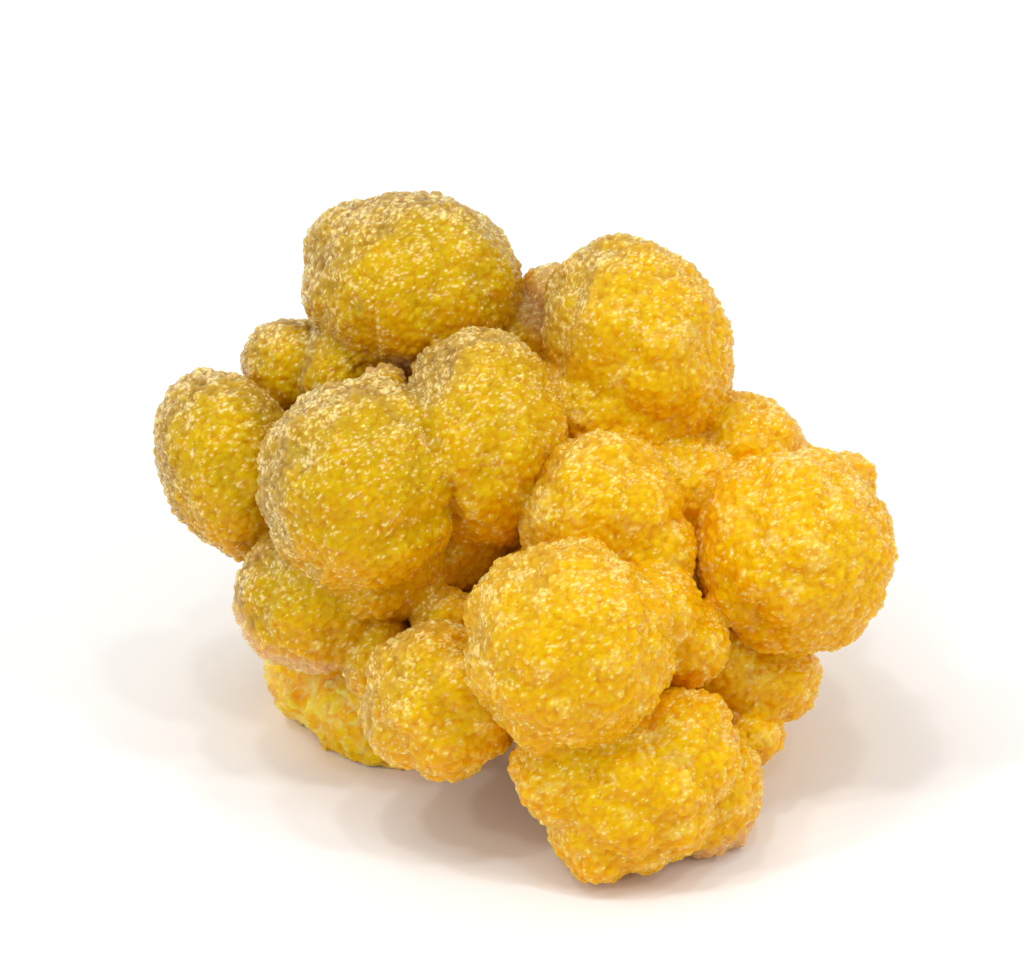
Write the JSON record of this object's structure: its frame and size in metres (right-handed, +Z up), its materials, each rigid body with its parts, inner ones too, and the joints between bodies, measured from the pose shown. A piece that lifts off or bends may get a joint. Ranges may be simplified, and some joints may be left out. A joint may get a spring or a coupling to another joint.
{
  "type": "mimetite specimen",
  "caption": "Free-standing mineral specimen: a cluster of intergrown round mimetite nodules, golden yellow and frosted with fine crystals, on a flat broken base.",
  "frame": {"origin": "middle of the bounding box's underside, in the plane of the flat broken face that the specimen rests on", "axes": "+Z up; +X along the longest extent, to the right as seen from the display side; the display side faces -Y and leans back 30 degrees"},
  "size_m": [0.0494, 0.043, 0.0354],
  "materials": {
    "mimetite": "translucent, frosted with fine crystals"
  },
  "bodies": {
    "root": {"mimetite_cluster": "mimetite"}
  },
  "joints": []
}
